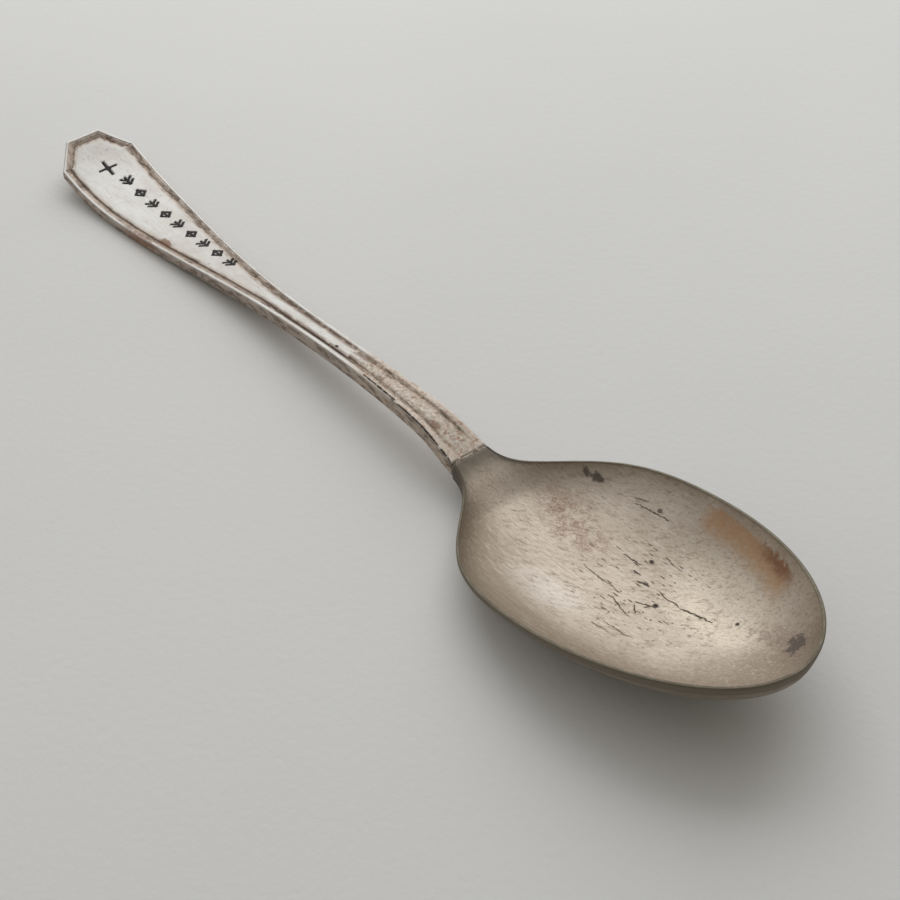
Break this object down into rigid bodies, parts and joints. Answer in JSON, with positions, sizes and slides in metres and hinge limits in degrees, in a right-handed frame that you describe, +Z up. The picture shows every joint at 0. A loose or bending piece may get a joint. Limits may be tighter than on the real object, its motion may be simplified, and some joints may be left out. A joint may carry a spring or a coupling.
{
  "type": "souvenir spoon",
  "caption": "Teaspoon with an oval bowl, an arched neck and a coffin-ended handle that has a raised centre panel punched with small black-filled figures.",
  "frame": {"origin": "on the surface the spoon lies on, under the middle of its length", "axes": "+X along the spoon from the end of the handle to the tip of the bowl, +Y to the left seen from the handle, +Z up, out of the bowl"},
  "size_m": [0.152, 0.0324, 0.0128],
  "materials": {
    "bowl_plate": "worn silver plate with a satin brushed surface, fine scratches and brown tarnish at the rim",
    "handle_plate": "worn silver plate, pitted, with dark tarnish in the grooves",
    "solder": "dull tarnished solder",
    "black_fill": "matte black fill in punched marks"
  },
  "bodies": {
    "root": {"bowl": "bowl_plate", "handle": "handle_plate", "neck_solder": "solder", "mark_fill_1": "black_fill", "mark_fill_2": "black_fill", "mark_fill_3": "black_fill", "mark_fill_4": "black_fill", "mark_fill_5": "black_fill", "mark_fill_6": "black_fill", "mark_fill_7": "black_fill", "mark_fill_8": "black_fill", "mark_fill_9": "black_fill", "mark_fill_10": "black_fill"}
  },
  "joints": []
}
